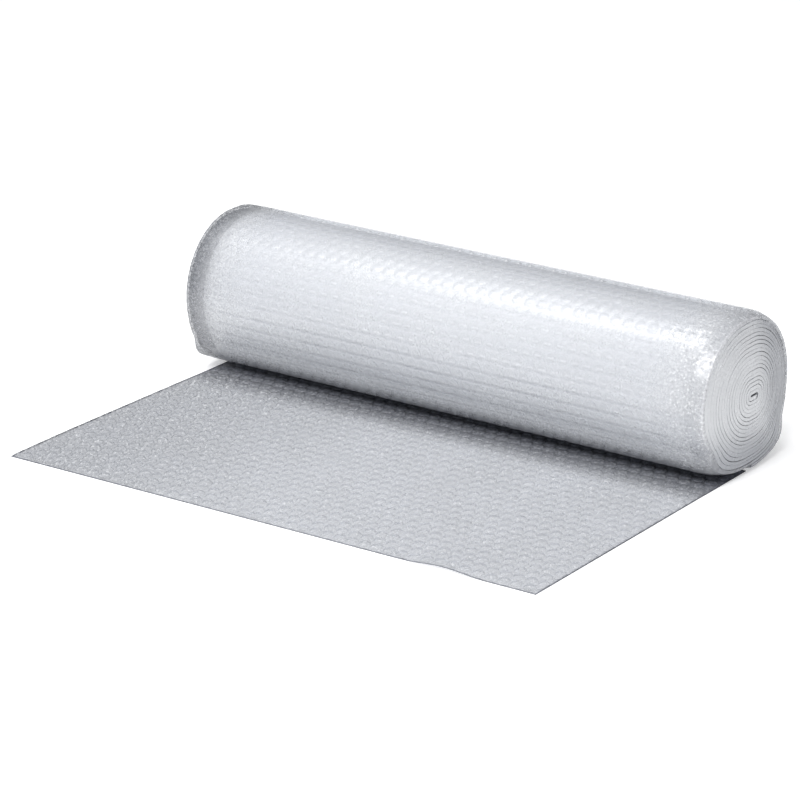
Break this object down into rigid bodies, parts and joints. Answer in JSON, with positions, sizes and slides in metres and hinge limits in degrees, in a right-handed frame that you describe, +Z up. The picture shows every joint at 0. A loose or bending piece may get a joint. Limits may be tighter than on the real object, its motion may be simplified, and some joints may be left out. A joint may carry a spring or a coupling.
{
  "type": "bubble film roll",
  "caption": "Soft coreless roll of clear air-bubble cushioning film for packing, with its free end pulled out flat.",
  "frame": {"origin": "middle of the ground that the roll and its pulled-out sheet cover, on the underside", "axes": "+X along the roll, -Y towards the sheet's free end, +Z up"},
  "size_m": [0.5, 0.363, 0.13],
  "materials": {
    "film": "milky clear polyethylene film"
  },
  "bodies": {
    "root": {"bubble_film_roll": "film"}
  },
  "joints": []
}
